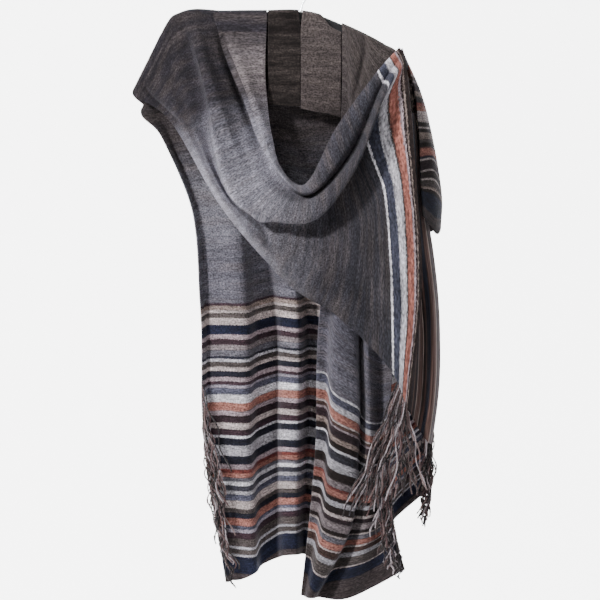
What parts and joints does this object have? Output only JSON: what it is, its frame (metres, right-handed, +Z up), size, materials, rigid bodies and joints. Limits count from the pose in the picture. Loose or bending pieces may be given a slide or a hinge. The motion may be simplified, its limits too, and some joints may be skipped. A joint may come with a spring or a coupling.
{
  "type": "poncho on a clothes hanger",
  "caption": "Open-front striped wool poncho hung on a plain hanger, one front thrown across the chest over the other shoulder, with yarn fringe on the side edges.",
  "frame": {"origin": "where the inside of the hanger's hook rests on a rail", "axes": "+Z up, the poncho's front faces -Y, +X to the right seen from the front"},
  "size_m": [0.5773, 0.1818, 1.1629],
  "materials": {
    "wool": "brushed melange knit with woven-in stripes, matt with a soft nap",
    "fringe_yarn": "twisted wool yarn",
    "hanger_plastic": "moulded black plastic, satin",
    "hook_steel": "plated steel wire"
  },
  "bodies": {
    "root": {"back_panel": "wool", "right_front": "wool", "wrap_panel": "wool", "wrap_end": "wool", "wrap_tail": "wool", "neck_edge_left": "wool", "neck_edge_right": "wool", "fringe_back_left": "fringe_yarn", "fringe_back_right": "fringe_yarn", "fringe_front": "fringe_yarn", "fringe_wrap": "fringe_yarn", "hanger_body": "hanger_plastic", "hanger_hook": "hook_steel"}
  },
  "joints": []
}
